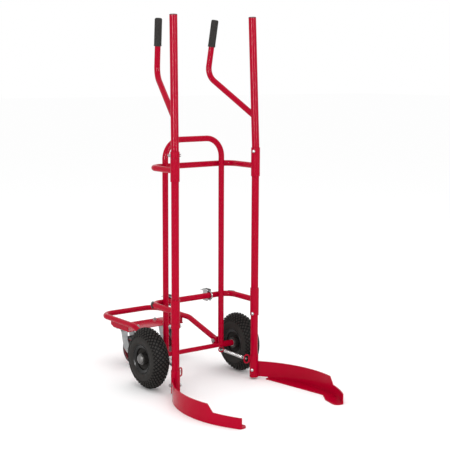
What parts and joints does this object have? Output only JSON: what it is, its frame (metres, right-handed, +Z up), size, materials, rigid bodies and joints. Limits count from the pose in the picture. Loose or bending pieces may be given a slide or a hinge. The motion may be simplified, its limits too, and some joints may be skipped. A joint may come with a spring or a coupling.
{
  "type": "tyre hand truck",
  "caption": "Tyre hand truck: arched frame on pneumatic wheels, sprung turning uprights with curved forks and handles, and a folding rear frame on swivel casters.",
  "frame": {"origin": "on the floor, under the middle of the truck's length and width", "axes": "+X across the truck, forks point along -Y, +Z up"},
  "size_m": [0.656, 1.2071, 1.5514],
  "materials": {
    "red_paint": "glossy crimson powder coat",
    "zinc_plate": "bright zinc plating",
    "spring_steel": "zinc-plated spring wire",
    "bearing_steel": "ground bearing steel",
    "hub_cap_steel": "pressed steel, bright",
    "tyre_rubber": "moulded rubber with a block tread",
    "tube_rubber": "smooth black rubber",
    "rim_paint": "black gloss paint",
    "grip_rubber": "matte dark grey rubber",
    "bumper_rubber": "matte black rubber",
    "black_plastic": "moulded black plastic",
    "bush_plastic": "plain nylon",
    "caster_rubber": "smooth black rubber",
    "caster_centre": "dark red moulded centre"
  },
  "bodies": {
    "frame": {"arch": "red_paint", "upper_cross_tube": "red_paint", "lower_cross_tube": "red_paint", "upper_sleeves": "red_paint", "lower_sleeves": "red_paint", "sleeve_bushes": "bush_plastic", "axle": "red_paint", "axle_spacers": "red_paint", "axle_washers": "zinc_plate", "axle_spring_eyes": "red_paint", "u_bolts": "zinc_plate", "wing_nuts": "zinc_plate", "corner_bumpers": "bumper_rubber", "fold_brackets": "red_paint", "fold_pivot_bolts": "zinc_plate", "left_spring": "spring_steel", "right_spring": "spring_steel"},
    "left_upright": {"left_upright_tube": "red_paint", "left_handle": "red_paint", "left_grip": "grip_rubber", "left_pole_plug": "black_plastic", "left_collars": "red_paint", "left_fork_socket": "red_paint", "left_fork_plate": "red_paint", "left_fork_shelf": "red_paint", "left_cross_bolts": "zinc_plate"},
    "right_upright": {"right_upright_tube": "red_paint", "right_handle": "red_paint", "right_grip": "grip_rubber", "right_pole_plug": "black_plastic", "right_collars": "red_paint", "right_fork_socket": "red_paint", "right_fork_plate": "red_paint", "right_fork_shelf": "red_paint", "right_cross_bolts": "zinc_plate"},
    "left_wheel": {"left_tyre": "tyre_rubber", "left_inner_tube": "tube_rubber", "left_rim": "rim_paint", "left_rim_bolts": "zinc_plate", "left_hub": "zinc_plate", "left_bearings": "bearing_steel", "left_hub_cap": "hub_cap_steel"},
    "right_wheel": {"right_tyre": "tyre_rubber", "right_inner_tube": "tube_rubber", "right_rim": "rim_paint", "right_rim_bolts": "zinc_plate", "right_hub": "zinc_plate", "right_bearings": "bearing_steel", "right_hub_cap": "hub_cap_steel"},
    "rear_frame": {"rear_frame_tube": "red_paint", "caster_cross_plate": "red_paint", "caster_bolts": "zinc_plate", "caster_top_plates": "zinc_plate"},
    "left_caster": {"left_caster_fork": "zinc_plate"},
    "left_caster_wheel": {"left_caster_tyre": "caster_rubber", "left_caster_rim": "caster_centre"},
    "right_caster": {"right_caster_fork": "zinc_plate"},
    "right_caster_wheel": {"right_caster_tyre": "caster_rubber", "right_caster_rim": "caster_centre"}
  },
  "joints": [
    {"name": "left_upright_turn", "type": "hinge", "parent": "frame", "child": "left_upright", "pos_m": [-0.2075, -0.0965, 0], "axis": [0, 0, -1], "range_deg": [0, 30], "stiffness_Nm_per_rad": 2, "springref_deg": -20.05, "deforming": ["left_spring"]},
    {"name": "right_upright_turn", "type": "hinge", "parent": "frame", "child": "right_upright", "pos_m": [0.2075, -0.0965, 0], "axis": [0, 0, 1], "range_deg": [0, 30], "stiffness_Nm_per_rad": 2, "springref_deg": -20.05, "deforming": ["right_spring"]},
    {"name": "left_wheel_spin", "type": "hinge", "parent": "frame", "child": "left_wheel", "pos_m": [-0.241, 0.0565, 0.13], "axis": [1, 0, 0], "continuous": true},
    {"name": "right_wheel_spin", "type": "hinge", "parent": "frame", "child": "right_wheel", "pos_m": [0.241, 0.0565, 0.13], "axis": [1, 0, 0], "continuous": true},
    {"name": "rear_frame_fold", "type": "hinge", "parent": "frame", "child": "rear_frame", "pos_m": [0, 0.0965, 0.141], "axis": [1, 0, 0], "range_deg": [0, 66]},
    {"name": "left_caster_swivel", "type": "hinge", "parent": "rear_frame", "child": "left_caster", "pos_m": [-0.102, 0.4365, 0.16], "axis": [0, 0, 1], "continuous": true},
    {"name": "left_caster_spin", "type": "hinge", "parent": "left_caster", "child": "left_caster_wheel", "pos_m": [-0.102, 0.3985, 0.0745], "axis": [1, 0, 0], "continuous": true},
    {"name": "right_caster_swivel", "type": "hinge", "parent": "rear_frame", "child": "right_caster", "pos_m": [0.102, 0.4365, 0.16], "axis": [0, 0, 1], "continuous": true},
    {"name": "right_caster_spin", "type": "hinge", "parent": "right_caster", "child": "right_caster_wheel", "pos_m": [0.102, 0.3985, 0.0745], "axis": [1, 0, 0], "continuous": true}
  ]
}
